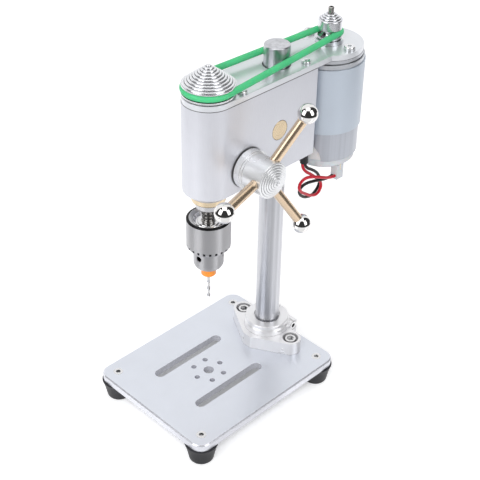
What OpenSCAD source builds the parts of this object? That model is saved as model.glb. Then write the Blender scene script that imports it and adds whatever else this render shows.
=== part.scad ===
// Mini bench drill press with a round-belt drive and a three-lever quill feed.
// Millimetres. +Z is up, the levers are on +X and the spindle is towards -Y.
// Every piece is drawn about the column, then the whole press is centred on its box.

/* [Base] */
// Width of the base plate
base_w = 100; // [84:1:140]
// Distance from the column axis to the front edge of the base plate
base_front = 109.5; // [95:0.5:140]
// Distance from the column axis to the rear edge of the base plate
base_rear = 16.5; // [16:0.5:24]
// Thickness of the base plate
base_t = 5; // [4:0.5:10]
// Corner radius of the base plate
base_corner_r = 8; // [3:0.5:9]
// Chamfer on the plate's top edge
base_chamfer = 0.8; // [0.4:0.1:1.5]
// Distance of the foot screws from the plate's edges
foot_inset = 9.5; // [9:0.5:14]
// Height of the feet
foot_h = 14; // [8:1:25]
// Radius of a foot where it meets the plate
foot_top_r = 10.9; // [9:0.1:12]
// Radius of a foot on the bench
foot_bottom_r = 8.1; // [6:0.1:9]

/* [Work table] */
// Distance of the clamping slots from the middle of the table
slot_x = 19.7; // [18:0.1:26]
// Width of the clamping slots
slot_w = 7.2; // [5:0.2:9]
// Distance between the centres of a slot's round ends
slot_run = 51; // [30:0.1:60]
// Radius of the clearance hole under the drill
table_hole_r = 3.5; // [2:0.1:5]
// Pitch circle radius of the fixture holes
fixture_pcr = 10.35; // [9:0.05:12]
// Radius of the fixture holes
fixture_hole_r = 1.8; // [1:0.05:2]
// Number of fixture holes
fixture_holes = 6; // [3:1:8]

/* [Column] */
// Diameter of the column
column_d = 16; // [14:0.5:16]
// Length of the column above the base plate
column_len = 220; // [212:1:260]
// Thickness of the column seat's flange
seat_t = 9.6; // [8:0.2:11]
// Height of the seat's boss
boss_h = 17; // [15:0.5:20]
// Wall of the boss round the column
boss_wall = 7.5; // [6:0.5:8]
// Chamfer on the boss
boss_chamfer = 0.4; // [0.2:0.1:1]
// Distance of the seat bolts from the column axis
ear_x = 22.5; // [21:0.5:28]

/* [Head] */
// Height of the head's underside above the base plate
head_lift = 144.7; // [142:0.1:150]
// Height of the head block
head_h = 58.7; // [56:0.1:66]
// Width of the head block
head_w = 31.5; // [30:0.5:36]
// Distance from the column axis to the spindle axis
throat = 55.4; // [54:0.1:62]
// Distance from the column axis to the head's rear face
head_rear = 19.5; // [18.5:0.1:20.5]
// Thickness of the top plate
top_plate_t = 3.6; // [3:0.1:6]

/* [Quill and spindle] */
// Radius of the quill
quill_r = 7.9; // [7.8:0.05:8.2]
// Length that the quill shows below its bush
quill_show = 4.5; // [3:0.1:8]
// Travel of the quill
quill_travel = 25; // [15:1:25]
// Radius of the spindle's nose
nose_r = 4.6; // [4:0.1:4.8]
// Gap between the quill and the chuck
nose_show = 8.6; // [6:0.1:14]

/* [Chuck and bit] */
// Outer radius of the chuck sleeve
sleeve_r = 13.75; // [13.5:0.05:15]
// Length of the chuck sleeve
sleeve_h = 22.2; // [21:0.1:26]
// Radius of the chuck's nose
chuck_nose_r = 9.4; // [9:0.1:9.7]
// Diameter of the drill bit
bit_d = 2.1; // [1:0.1:2.4]
// Diameter of the bit's shank
shank_d = 3.2; // [2.4:0.1:3.2]
// Length of the bit below the chuck
bit_show = 25.1; // [15:0.1:30]
// Radius of the collar on the bit
bit_ring_r = 4.65; // [3:0.05:5]
// Height of the collar on the bit
bit_ring_h = 6.2; // [3:0.1:8]

/* [Belt drive] */
// Distance from the column axis to the motor axis
motor_y = 46.7; // [46:0.1:54]
// Diameter of the round belt
belt_d = 4; // [3:0.1:4]
// Radius of the belt's centre line on the spindle pulley
belt_r_spindle = 14.4; // [14.4:0.1:15]
// Radius of the belt's centre line on the motor pulley
belt_r_motor = 6.7; // [6.7:0.1:8]
// Radius of the spindle pulley's rim
spindle_rim_r = 15.7; // [15.5:0.1:16.4]
// Radius of the motor pulley
motor_rim_r = 7.5; // [7.3:0.1:8.6]
// Number of steps on the spindle pulley's crown
crown_steps = 10; // [4:1:12]

/* [Motor] */
// Outer radius of the sleeve round the motor
motor_sleeve_r = 23.2; // [22.8:0.1:23.5]
// Wall of the sleeve round the motor
motor_sleeve_wall = 1; // [0.6:0.1:1.5]
// Length of the sleeve round the motor
motor_sleeve_h = 44.2; // [30:0.1:50]
// Length of the motor's can
can_h = 64; // [60:0.5:70]
// Thickness of the collar above the motor
collar_h = 5.8; // [4:0.1:8]

/* [Feed] */
// Number of teeth on the feed pinion
pinion_teeth = 20; // [20:1:20]
// Tooth size of the feed pinion and rack
gear_module = 1; // [1:0.1:1]
// Height of the pinion axis above the head's underside
pinion_lift = 14.4; // [13.5:0.1:16]
// Radius of the hub's disc
hub_disc_r = 12.4; // [12:0.1:14]
// Radius of the hub's barrel
hub_r = 11.3; // [10:0.1:11.5]
// Distance of the hub's tip from the middle plane
hub_tip_x = 40.7; // [39:0.1:44]
// Gap between the head and the hub's disc
hub_gap = 1.1; // [0.3:0.1:1.5]
// Diameter of the levers
lever_d = 6; // [4:0.5:7]
// Lean of the levers away from the head, in degrees
lever_lean = 15.7; // [5:0.1:18]
// Distance of the lever balls from the hub axis
ball_reach = 43.4; // [35:0.1:50]
// Diameter of the lever balls
ball_d = 12; // [10:0.5:13]

/* [Fits] */
// Radial clearance of a running or sliding fit
run_fit = 0.04; // [0.02:0.01:0.06]
// Radial clearance of a fixed fit
seat_fit = 0.02; // [0.01:0.01:0.04]
// Gap round the belt in its grooves
belt_gap = 0.25; // [0.2:0.05:0.3]

/* [Hidden] */
$fn = 72;
eps = 0.01;
through = 0.5;

// Levels, from the bench up
deck_z = foot_h + base_t;
head_z = deck_z + head_lift;
plate_z = head_z + head_h;
deck_top = plate_z + top_plate_t;
cone_h = 4.2;
bush_h = 3.9;
quill_z = head_z - cone_h - bush_h - quill_show;
chuck_top_z = quill_z - nose_show;
sleeve_z = chuck_top_z - sleeve_h;
chuck_nose_h = 13.9;
chuck_z = sleeve_z - chuck_nose_h;
bit_z = chuck_z - bit_show;

// Places in plan, from the column axis
column_r = column_d / 2;
head_r = head_w / 2;
motor_rear = motor_y + motor_sleeve_r;
front_reach = base_front + max(0, foot_top_r - foot_inset);
column_y = (front_reach - motor_rear) / 2;
foot_points = [for (x = [-1, 1], y = [foot_inset - base_front, base_rear - foot_inset])
    [x * (base_w / 2 - foot_inset), y]];

// Screws: shank radius, head radius, head height and hex socket radius
foot_screw = [1.5, 3.2, 1.9, 1.7];
seat_bolt = [2.5, 4.1, 5, 2.6];
clamp_screw = [2, 3.5, 4, 1.7];
lock_bolt = [2.5, 4.25, 5, 2.3];
plate_screw = [1.5, 2.8, 1.7, 1.1];
motor_screw = [2, 3.5, 2.2, 1.4];

// Seat
seat_nose_y = 19.5;
seat_nose_x = 3.3;
ear_r = 7.2;
boss_r = column_r + boss_wall;
boss_band = 2.1;
boss_ledge = 0.8;
boss_mouth = 1.2;
lobe_x = 14;
lobe_y = 15.3;
lobe_h = 12;
slit_w = 1.5;
seat_screw_y = column_r + 4;
seat_screw_z = 8.3;

// Column clamp in the head
plug_r = 6.4;
plug_y = -(column_r + 4);
plug_lift = 28.6;
plug_root_x = 2;

// Quill, spindle and their bearings
rack_step = PI * gear_module;
pinion_r = pinion_teeth * gear_module / 2;
pinion_offset = 16.3;
pinion_y = -throat + pinion_offset;
pinion_z = head_z + pinion_lift;
addendum = 0.9 * gear_module;
dedendum = 1.2 * gear_module;
backlash = 0.15;
pressure_angle = 20;
pinion_w = 10;
pinion_tip_r = pinion_r + addendum;
pinion_pocket_r = pinion_tip_r + 0.3;
rack_pitch_y = pinion_offset - pinion_r;
rack_reach = 7.2;
quill_top_z = pinion_z + quill_travel + 4.9;
bearing_gap = 0.6;
low_bearing = [3, 6, 4];
high_bearing = [2.5, 4.5, 3];
spindle_r = low_bearing[0];
hex_r = high_bearing[0];
hex_fit = 0.06;
pulley_neck_r = 5;
pulley_bearing = [pulley_neck_r, 9.5, 5];
bearing_seat_h = 2 * pulley_bearing[2] + 1.4;
spindle_top_z = deck_top + 14.5;

// Pulleys and belt, heights above the top plate
spindle_groove_z = deck_top + 4.2;
motor_groove_z = deck_top + 6.6;
pulley_float = 0.9;
rim_top = 7;
crown_h = 11.4;
belt_r = belt_d / 2;
boss_ring_h = 2.5;
motor_pulley_float = 2.8;
motor_pulley_h = 14;
motor_crown_h = 4.2;
motor_stud_h = 22.3;
shaft_r = 2.5;
stud_r = 1.85;

// Motor, heights down from the top plate's underside
can_r = motor_sleeve_r - motor_sleeve_wall - seat_fit;
can_wall = 1.5;
can_top_z = plate_z - collar_h;
can_z = can_top_z - can_h;
end_cap_h = 5.5;
cap_z = can_z - end_cap_h;
window_r = 14;
holder_h = 14;
armature_r = 15.5;
motor_screw_x = 16.5;

// Hub, spring and jack
hub_face_x = head_r + hub_gap;
hub_barrel_x = 36.6;
hub_disc_x = head_r + 5;
hub_shoulder_x = hub_disc_x + 1.5;
hub_bore_x = 30;
lever_root_x = 29.4;
journal_r = 5;
lever_root = journal_r + 1.2;
spring_pocket_r = 9;
spring_pocket_d = 5;
spring_cover_t = 1;
jack_y = 13.5;
jack_lift = 15;
wire_x = 12.2;
wire_y = 15.5;
wire_sleeve_r = 2.6;
wire_sleeve_drop = 6.8;
wire_r = 1;
connector_w = 5.2;
connector_x = 17;
connector_y = 40;
connector_l = 6;
connector_h = 10.4;

// Jaws of the chuck
jaw_tilt = 14;
jaw_r = 2.2;
jaw_root = shank_d / 2 + 1;
jaw_h = 16.5;
jaw_gap = 0.05;

// Routes of the two wires, from the column axis at the head's underside
red_route = [[12.2, 14.4, -4], [12.3, 14.5, -9.5], [12.7, 17, -13.7], [12.8, 22, -18],
    [12.6, 27, -22.5], [12.4, 31, -26.5], [12.6, 33, -30.2], [13, 31.8, -33.6],
    [13.6, 28.3, -35.1], [14.2, 22.5, -33.5], [14.8, 15.5, -29], [15.2, 10.4, -24.6],
    [15.7, 8.3, -20.2], [16.3, 9.5, -16.8], [17, 13, -15.2], [17.8, 17.2, -15.8],
    [18.2, 21.5, -17.4], [18.4, 27, -20], [18.2, 32, -22.4], [18, 36.5, -24], [18, 39.85, -24.5]];
black_route = [[12.2, 16.6, -4], [12, 16.9, -8.5], [11.3, 20, -13], [10.6, 25, -16.7],
    [9.8, 30, -20.7], [9.4, 33.6, -24.9], [9.4, 35.2, -29], [9.8, 34.2, -32.6],
    [10.2, 31, -35.4], [10.8, 26.5, -36.6], [11.2, 21.3, -35.6], [11.8, 16.4, -32.8],
    [12.3, 13, -29.2], [12.9, 12, -25.9], [13.5, 13.6, -23.2], [14.2, 17.2, -22.1],
    [14.9, 22, -22.4], [15.6, 28, -23.6], [16, 34, -24.8], [16, 39.85, -25]];

// Placing and turning
module at_column() {
    translate([0, column_y, 0]) children();
}
module at_spindle() {
    translate([0, column_y - throat, 0]) children();
}
module at_motor() {
    translate([0, column_y + motor_y, 0]) children();
}
module along_x(x, y, z) {
    translate([x, column_y + y, z]) rotate([0, 90, 0]) children();
}
module at_pinion(x) {
    along_x(x, pinion_y, pinion_z) children();
}

// Basic shapes
module rod(r, z0, z1) {
    translate([0, 0, z0]) cylinder(r = r, h = z1 - z0);
}
module hex_rod(r, z0, z1) {
    translate([0, 0, z0]) cylinder(r = r, h = z1 - z0, $fn = 6);
}
module ring(r_in, r_out, z0, z1) {
    rotate_extrude() translate([r_in, z0]) square([r_out - r_in, z1 - z0]);
}
module turned(points) {
    rotate_extrude() polygon(points);
}
module ball_bearing(b, z0, bore_fit) {
    groove = 0.25;
    face = (b[1] - b[0]) / 5;
    difference() {
        ring(b[0] + bore_fit, b[1], z0, z0 + b[2]);
        for (z = [z0 - groove, z0 + b[2] - groove])
            ring(b[0] + face, b[1] - face, z, z + 2 * groove);
    }
}
// Screw with its head's underside at z = 0, head up
module cap_screw(s, len) {
    difference() {
        union() {
            rod(s[0], -len, eps);
            turned([[0, 0], [s[1], 0], [s[1], s[2] * 0.8], [s[1] * 0.9, s[2]], [0, s[2]]]);
        }
        hex_rod(s[3], s[2] * 0.4, s[2] + through);
    }
}
// Block with round corners and a chamfered top edge
module chamfered_plate(x, y0, y1, z0, t, r, c) {
    for (sx = [-1, 1], y = [y0 + r, y1 - r]) translate([sx * (x - r), y, z0])
        turned([[0, 0], [r, 0], [r, t - c], [r - c, t], [0, t]]);
    translate([0, y1 - r, z0]) rotate([90, 0, 0]) linear_extrude(height = y1 - y0 - 2 * r)
        polygon([[-x, 0], [x, 0], [x, t - c], [x - c, t], [c - x, t], [-x, t - c]]);
    translate([r - x, 0, z0]) rotate([90, 0, 90]) linear_extrude(height = 2 * (x - r))
        polygon([[y0, 0], [y1, 0], [y1, t - c], [y1 - c, t], [y0 + c, t], [y0, t - c]]);
}

// Base
module base_plate() {
    color("gainsboro") at_column() difference() {
        chamfered_plate(base_w / 2, -base_front, base_rear, foot_h, base_t,
            base_corner_r, base_chamfer);
        for (p = foot_points) translate([p[0], p[1], deck_z]) {
            rod(foot_screw[0] + seat_fit, -base_t - through, through);
            countersink(seat_fit);
        }
        for (s = [-1, 1]) translate([s * slot_x, -throat, foot_h - through])
            linear_extrude(height = base_t + 2 * through) slot_outline();
        translate([0, -throat, 0]) {
            rod(table_hole_r, foot_h - through, deck_z + through);
            for (i = [0 : fixture_holes - 1]) rotate([0, 0, 360 * (i + 0.5) / fixture_holes])
                translate([fixture_pcr, 0, 0]) rod(fixture_hole_r, foot_h - through, deck_z + through);
        }
        for (s = [-1, 1]) translate([s * ear_x, 0, 0])
            rod(seat_bolt[0] + seat_fit, foot_h - through, deck_z + through);
    }
}
module countersink(fit) {
    translate([0, 0, -foot_screw[2]])
        cylinder(r1 = foot_screw[0] + fit, r2 = foot_screw[1] + fit, h = foot_screw[2]);
    rod(foot_screw[1] + fit, 0, through);
}
module slot_outline() {
    translate([-slot_w / 2, -slot_run / 2]) square([slot_w, slot_run]);
    for (s = [-1, 1]) translate([0, s * slot_run / 2]) circle(r = slot_w / 2);
}
foot_recess_r = 4.5;
foot_recess_h = 2;
foot_screw_len = 11;
module feet() {
    color("dimgray") at_column() for (p = foot_points) translate([p[0], p[1], 0]) difference() {
        turned([[0, 0], [foot_bottom_r - 1, 0], [foot_bottom_r, 0.8], [foot_top_r, foot_h], [0, foot_h]]);
        rod(foot_recess_r, -through, foot_recess_h);
        rod(foot_screw[0] + seat_fit, foot_recess_h - eps, foot_h + through);
    }
}
module foot_screws() {
    color("silver") at_column() for (p = foot_points) translate([p[0], p[1], deck_z]) difference() {
        union() {
            translate([0, 0, -foot_screw[2]])
                cylinder(r1 = foot_screw[0], r2 = foot_screw[1], h = foot_screw[2]);
            rod(foot_screw[0], -foot_screw_len - base_t + foot_screw[2], -foot_screw[2] + eps);
        }
        hex_rod(foot_screw[3], -foot_screw[2] * 0.55, through);
    }
}

// Column seat: ears joined to a narrow front by tangent edges
ear_to_nose = norm([ear_x - seat_nose_x, seat_nose_y]);
ear_turn = acos(ear_r / ear_to_nose) - atan2(seat_nose_y, seat_nose_x - ear_x);
function ear_tangent(s) = [s * (ear_x + ear_r * cos(ear_turn)), ear_r * sin(ear_turn)];
ear_bore_r = seat_bolt[1] + 1.3;
ear_bore_h = seat_bolt[2] + 0.4;
module column_seat() {
    color("gainsboro") at_column() difference() {
        union() {
            translate([0, 0, deck_z]) linear_extrude(height = seat_t) {
                polygon([[-seat_nose_x, -seat_nose_y], [seat_nose_x, -seat_nose_y],
                    ear_tangent(1), [ear_x, 0], [ear_x, ear_r], [-ear_x, ear_r], [-ear_x, 0],
                    ear_tangent(-1)]);
                for (s = [-1, 1]) translate([s * ear_x, 0]) circle(r = ear_r);
            }
            translate([0, 0, deck_z])
                turned([[0, 0], [boss_r, 0],
                    [boss_r, boss_h - boss_chamfer - boss_band - 1.5 * boss_ledge],
                    [boss_r - boss_ledge, boss_h - boss_chamfer - boss_band],
                    [boss_r - boss_ledge, boss_h - boss_chamfer],
                    [boss_r - boss_ledge - boss_chamfer, boss_h], [0, boss_h]]);
            translate([-lobe_x, 0, deck_z]) cube([2 * lobe_x, lobe_y, lobe_h]);
        }
        rod(column_r + run_fit, deck_z - through, deck_z + boss_h + through);
        rod(column_r + 1, deck_z + boss_h - boss_mouth, deck_z + boss_h + through);
        translate([-slit_w / 2, 0, deck_z - through]) cube([slit_w, boss_r + through, boss_h + 2 * through]);
        for (s = [-1, 1]) translate([s * ear_x, 0, 0]) {
            rod(seat_bolt[0] + 0.25, deck_z - through, deck_z + seat_t);
            rod(ear_bore_r, deck_z + seat_t - ear_bore_h, deck_z + seat_t + through);
        }
        translate([0, seat_screw_y, deck_z + seat_screw_z]) rotate([0, 90, 0]) {
            rod(clamp_screw[0] + run_fit, -lobe_x - through, lobe_x);
            rod(clamp_screw[1] + 0.2, lobe_x - clamp_screw[2], lobe_x + through);
        }
    }
}
module seat_bolts() {
    color("silver") at_column() for (s = [-1, 1])
        translate([s * ear_x, 0, deck_z + seat_t - ear_bore_h])
            cap_screw(seat_bolt, seat_t - ear_bore_h + base_t);
}
module seat_clamp_screw() {
    color("silver") along_x(lobe_x - clamp_screw[2], seat_screw_y, deck_z + seat_screw_z)
        cap_screw(clamp_screw, 2 * lobe_x - clamp_screw[2] - 1);
}
module column() {
    color("silver") at_column() turned([[0, deck_z + 0.1], [column_r, deck_z + 0.1],
        [column_r, deck_z + column_len - 0.5], [column_r - 0.5, deck_z + column_len],
        [0, deck_z + column_len]]);
}

// Head
plate_screw_points = [for (s = [-1, 1]) [s * 11, 13.7], for (s = [-1, 1]) [s * 12, -40.5]];
bush_seat_h = 9;
bush_neck_r = 9.3;
bush_r = 10.5;
plug_hole_x = plug_root_x - 0.3;
module head_outline(r, back) {
    translate([0, -throat]) circle(r = r);
    translate([-r, -throat]) square([2 * r, throat + back]);
}
module head_body() {
    color("lightgray") difference() {
        union() {
            at_column() translate([0, 0, head_z]) linear_extrude(height = head_h)
                head_outline(head_r, head_rear);
            at_spindle() translate([0, 0, head_z - cone_h])
                cylinder(r1 = bush_r + 0.5, r2 = head_r - 0.05, h = cone_h);
        }
        at_column() rod(column_r + run_fit, head_z - through, plate_z + through);
        at_spindle() {
            rod(bush_neck_r + seat_fit, head_z - cone_h - through, head_z + bush_seat_h);
            rod(quill_r + run_fit, head_z, plate_z + through);
            rod(pulley_bearing[1] + seat_fit, plate_z - bearing_seat_h, plate_z + through);
        }
        at_pinion(0) {
            rod(pinion_pocket_r, -pinion_w / 2 - 0.3, head_r + through);
            rod(journal_r + run_fit, -head_r, 0);
            rod(spring_pocket_r, -head_r - through, -head_r + spring_pocket_d);
        }
        along_x(0, plug_y, head_z + plug_lift) {
            rod(plug_r + seat_fit, plug_hole_x, head_r + through);
            rod(lock_bolt[0] + run_fit, -head_r, plug_root_x);
            rod(lock_bolt[1] + 0.2, -head_r - through, lock_bolt[2] - head_r + 0.2);
        }
        along_x(0, jack_y, head_z + jack_lift) {
            rod(jack_body_r + seat_fit, -head_r - through, jack_body_l - head_r);
            rod(wire_sleeve_r, -head_r + jack_body_l - eps, wire_x + 1);
        }
        translate([wire_x, column_y + wire_y, 0])
            rod(wire_sleeve_r + seat_fit, head_z - through, head_z + jack_lift + 1);
        at_column() for (p = plate_screw_points) translate([p[0], p[1], 0])
            rod(plate_screw[0] + seat_fit, plate_z - plate_screw_grip - 1, plate_z + through);
    }
}
module quill_bush() {
    color("goldenrod") difference() {
        at_spindle() turned([
            [quill_r + run_fit, head_z - cone_h - bush_h], [bush_r - 0.4, head_z - cone_h - bush_h],
            [bush_r, head_z - cone_h - bush_h + 0.6], [bush_r, head_z - cone_h],
            [bush_neck_r, head_z - cone_h], [bush_neck_r, head_z + bush_seat_h - 0.1],
            [quill_r + run_fit, head_z + bush_seat_h - 0.1]]);
        at_pinion(0) rod(pinion_pocket_r, -pinion_w / 2 - 0.3, head_r);
    }
}
module pinion_bush() {
    color("goldenrod") difference() {
        at_pinion(0)
            ring(journal_r + run_fit, pinion_pocket_r - seat_fit, pinion_w / 2 + 0.3, head_r - 0.1);
        at_spindle() rod(quill_r + run_fit, pinion_z - head_r, pinion_z + head_r);
    }
}
module clamp_plug() {
    color("goldenrod") difference() {
        along_x(0, plug_y, head_z + plug_lift) difference() {
            turned([[0, plug_root_x], [plug_r, plug_root_x], [plug_r, head_r - 0.3],
                [plug_r - 0.3, head_r], [0, head_r]]);
            rod(lock_bolt[0] + run_fit, plug_root_x - through, plug_thread_x);
        }
        at_column() rod(column_r + run_fit, plate_z - head_h, plate_z);
    }
}
plug_thread_x = 13;
module clamp_bolt() {
    color("dimgray") translate([0, column_y + plug_y, head_z + plug_lift])
        rotate([0, -90, 0]) translate([0, 0, head_r - lock_bolt[2]])
            cap_screw(lock_bolt, head_r - lock_bolt[2] + plug_thread_x - 1);
}

// Top plate and its screws
plate_screw_grip = 8;
plate_inset = 0.15;
plate_disc_r = 21.5;
motor_hole_r = 5;
module top_plate() {
    color("gainsboro") difference() {
        translate([0, 0, plate_z]) linear_extrude(height = top_plate_t) union() {
            translate([0, column_y]) head_outline(head_r - plate_inset, motor_y);
            translate([0, column_y + motor_y]) circle(r = plate_disc_r);
        }
        at_column() rod(column_r + 0.6, plate_z - through, deck_top + through);
        at_spindle() rod(pulley_bearing[1] - 1.5, plate_z - through, deck_top + through);
        at_column() for (p = plate_screw_points) translate([p[0], p[1], 0])
            rod(plate_screw[0] + 0.15, plate_z - through, deck_top + through);
        at_motor() {
            rod(motor_hole_r, plate_z - through, deck_top + through);
            motor_screw_holes(plate_z, deck_top);
        }
    }
}
module motor_screw_holes(z0, z1) {
    for (s = [-1, 1]) translate([s * motor_screw_x, 0, 0])
        rod(motor_screw[0] + 0.1, z0 - through, z1 + through);
}
module plate_screws() {
    color("silver") at_column() for (p = plate_screw_points) translate([p[0], p[1], deck_top])
        cap_screw(plate_screw, top_plate_t + plate_screw_grip);
}
module motor_screws() {
    color("silver") at_motor() for (s = [-1, 1]) translate([s * motor_screw_x, 0, deck_top])
        cap_screw(motor_screw, top_plate_t + collar_h + can_wall);
}

// Rounded ribs with narrow grooves between them, going in and up from [r, z]
rib = [[0, 0.4], [0.15, 0.75], [0.45, 0.95], [0.8, 1], [1, 0.75]];
function ribs(r, z, step_r, step_h, count) =
    [for (i = [0 : count - 1], p = rib) [r - (i + p[0]) * step_r, z + (i + p[1]) * step_h]];

// Spindle pulley, its bearings and the belt
module pulley_bearings() {
    color("lightsteelblue") at_spindle() for (i = [0, 1])
        ball_bearing(pulley_bearing, plate_z - (i + 1) * pulley_bearing[2] - 0.2 - i * 0.8, run_fit);
}
crown_r = spindle_rim_r - 0.7;
module spindle_pulley() {
    base_z = deck_top + rim_top;
    color("gainsboro") at_spindle() difference() {
        turned(concat([[0, quill_top_z + 0.6], [pulley_neck_r, quill_top_z + 0.6],
            [pulley_neck_r, deck_top + pulley_float], [spindle_rim_r, deck_top + pulley_float],
            [spindle_rim_r, base_z], [crown_r, base_z]],
            ribs(crown_r, base_z, crown_r / crown_steps, crown_h / crown_steps, crown_steps)));
        rotate_extrude() translate([belt_r_spindle, spindle_groove_z]) circle(r = belt_r + belt_gap);
        ring(belt_r_spindle, spindle_rim_r + 1, spindle_groove_z - mouth_r, spindle_groove_z + mouth_r);
        hex_rod(hex_r + hex_fit, quill_top_z, spindle_top_z + 0.3);
    }
}
mouth_r = belt_r + belt_gap + 2 * eps;

// Closed belt: arcs round the two pulleys joined by straight runs
belt_sides = 12;
belt_step = 9;
belt_lean = asin((belt_r_spindle - belt_r_motor) / (throat + motor_y));
spindle_arc = 180 + 2 * belt_lean;
motor_arc = 180 - 2 * belt_lean;
spindle_rings = ceil(spindle_arc / belt_step);
motor_rings = ceil(motor_arc / belt_step);
belt_stations = concat(
    [for (i = [0 : spindle_rings]) let (a = belt_lean - i * spindle_arc / spindle_rings)
        [a, belt_r_spindle, -throat, spindle_groove_z]],
    [for (i = [0 : motor_rings]) let (a = 180 - belt_lean - i * motor_arc / motor_rings)
        [a, belt_r_motor, motor_y, motor_groove_z]]);
function belt_point(s, t) = let (r = s[1] + belt_r * cos(t))
    [r * cos(s[0]), s[2] + r * sin(s[0]), s[3] + belt_r * sin(t)];
function loop_faces(rings, sides) = [for (i = [0 : rings - 1], j = [0 : sides - 1])
    let (a = i * sides + j, b = i * sides + (j + 1) % sides,
        c = ((i + 1) % rings) * sides + (j + 1) % sides, d = ((i + 1) % rings) * sides + j)
        each [[a, b, c], [a, c, d]]];
module drive_belt() {
    color("mediumseagreen") at_column() polyhedron(
        [for (s = belt_stations, j = [0 : belt_sides - 1]) belt_point(s, 360 * j / belt_sides)],
        loop_faces(len(belt_stations), belt_sides));
}

// Motor pulley
motor_crown_steps = 4;
module motor_pulley() {
    top = deck_top + motor_pulley_h;
    step_r = (motor_rim_r - stud_r - 0.4) / motor_crown_steps;
    color("gainsboro") at_motor() difference() {
        turned(concat([[stud_r + seat_fit, deck_top + motor_pulley_float],
            [motor_rim_r, deck_top + motor_pulley_float], [motor_rim_r, top]],
            ribs(motor_rim_r, top, step_r, motor_crown_h / motor_crown_steps, motor_crown_steps),
            [[stud_r + seat_fit, top + motor_crown_h - 0.4]]));
        rotate_extrude() translate([belt_r_motor, motor_groove_z]) circle(r = belt_r + belt_gap);
        ring(belt_r_motor, motor_rim_r + 1, motor_groove_z - mouth_r, motor_groove_z + mouth_r);
        rod(shaft_r + seat_fit, deck_top, top);
        set_screw_place() rod(set_screw_r + seat_fit, 0, motor_rim_r + 1);
    }
}
set_screw_r = 1.5;
set_screw_turn = -95;
set_screw_lift = 5.2;
set_screw_top = belt_r_motor - belt_r - belt_gap - 0.15;
module set_screw_place() {
    translate([0, 0, deck_top + set_screw_lift]) rotate([0, 90, set_screw_turn]) children();
}
module pulley_set_screw() {
    color("dimgray") at_motor() set_screw_place() difference() {
        rod(set_screw_r, shaft_r + 0.1, set_screw_top);
        hex_rod(0.8, set_screw_top - 1.1, set_screw_top + through);
    }
}
module motor_boss_ring() {
    color("silver") at_motor() ring(motor_hole_r - 1, motor_hole_r + 3.7, deck_top, deck_top + boss_ring_h);
}

// Motor
bearing_r = 6.5;
motor_bearing_h = 3;
collar_groove = 0.5;
collar_step = 0.8;
module motor_collar() {
    r = motor_sleeve_r - 0.7;
    step_z = can_top_z + collar_h * 0.55;
    color("silver") at_motor() difference() {
        turned([[motor_hole_r + 3, can_top_z], [r, can_top_z], [r, step_z],
            [r - collar_step - collar_groove, step_z],
            [r - collar_step - collar_groove, step_z + collar_groove],
            [r - collar_step, step_z + collar_groove], [r - collar_step, plate_z],
            [motor_hole_r + 3, plate_z]]);
        motor_screw_holes(can_top_z, plate_z);
    }
}
module motor_sleeve() {
    color("lightsteelblue") at_motor()
        ring(motor_sleeve_r - motor_sleeve_wall, motor_sleeve_r, can_top_z - motor_sleeve_h, can_top_z);
}
module motor_can() {
    color("silver") at_motor() difference() {
        rod(can_r, can_z, can_top_z);
        rod(can_r - can_wall, can_z - through, can_top_z - can_wall);
        rod(bearing_r - 1.5, can_z, can_top_z + through);
        motor_screw_holes(can_top_z - can_wall, can_top_z);
        translate([0, 0, can_z]) rotate([90, 0, 0]) rod(window_r, -can_r - 1, can_r + 1);
    }
}
magnet_top = can_top_z - 7;
magnet_h = 36;
module motor_magnets() {
    color("dimgray") at_motor() difference() {
        ring(armature_r + 0.6, can_r - can_wall - seat_fit, magnet_top - magnet_h, magnet_top);
        translate([-can_r, -6, magnet_top - magnet_h - 1]) cube([2 * can_r, 12, magnet_h + 2]);
    }
}
module motor_bearings() {
    color("lightsteelblue") at_motor() for (z = [can_top_z - can_wall - motor_bearing_h, cap_z + 1.5])
        ball_bearing([shaft_r, bearing_r, motor_bearing_h], z, run_fit);
}
module motor_armature() {
    color("sienna") at_motor() difference() {
        ring(shaft_r + seat_fit, armature_r, magnet_top - magnet_h + 2, magnet_top - 1);
        for (i = [0 : 4]) rotate([0, 0, 72 * i])
            translate([armature_r - 3, -0.8, magnet_top - magnet_h]) cube([4, 1.6, magnet_h + 2]);
    }
}
commutator_r = 5;
commutator_top = magnet_top - magnet_h + 0.5;
module motor_commutator() {
    color("peru") at_motor()
        ring(shaft_r + seat_fit, commutator_r, commutator_top - 11, commutator_top);
}
brush_z = commutator_top - 8;
brush_w = 4;
module motor_brushes() {
    color("dimgray") at_motor() for (s = [0, 180]) rotate([0, 0, s])
        translate([commutator_r + 0.3, -brush_w / 2, brush_z]) cube([6, brush_w, 5]);
}
module motor_brush_holder() {
    color("wheat") at_motor() difference() {
        rod(can_r - can_wall - seat_fit, can_z, can_z + holder_h);
        rod(commutator_r + 0.6, can_z - through, can_z + holder_h + through);
        for (s = [0, 180]) rotate([0, 0, s])
            translate([0, -brush_w / 2 - 0.05, brush_z - 0.05])
                cube([commutator_r + 6.5, brush_w + 0.1, 20]);
    }
}
module motor_end_cap() {
    color("white") at_motor() difference() {
        turned([[0, cap_z], [can_r - 2.4, cap_z], [can_r - 1.4, cap_z + 1], [can_r - 1.4, can_z],
            [0, can_z]]);
        rod(bearing_r + seat_fit, cap_z + 1.5, can_z + through);
        rod(shaft_r + 0.5, cap_z - through, can_z + through);
        for (x = terminal_x) translate([x - 1.2, terminal_y - 0.4, cap_z - through])
            cube([2.4, 0.8, end_cap_h + 2 * through]);
    }
}
terminal_x = [connector_x - 1.3, connector_x + 1.5];
terminal_y = connector_y + connector_l / 2 - motor_y;
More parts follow.
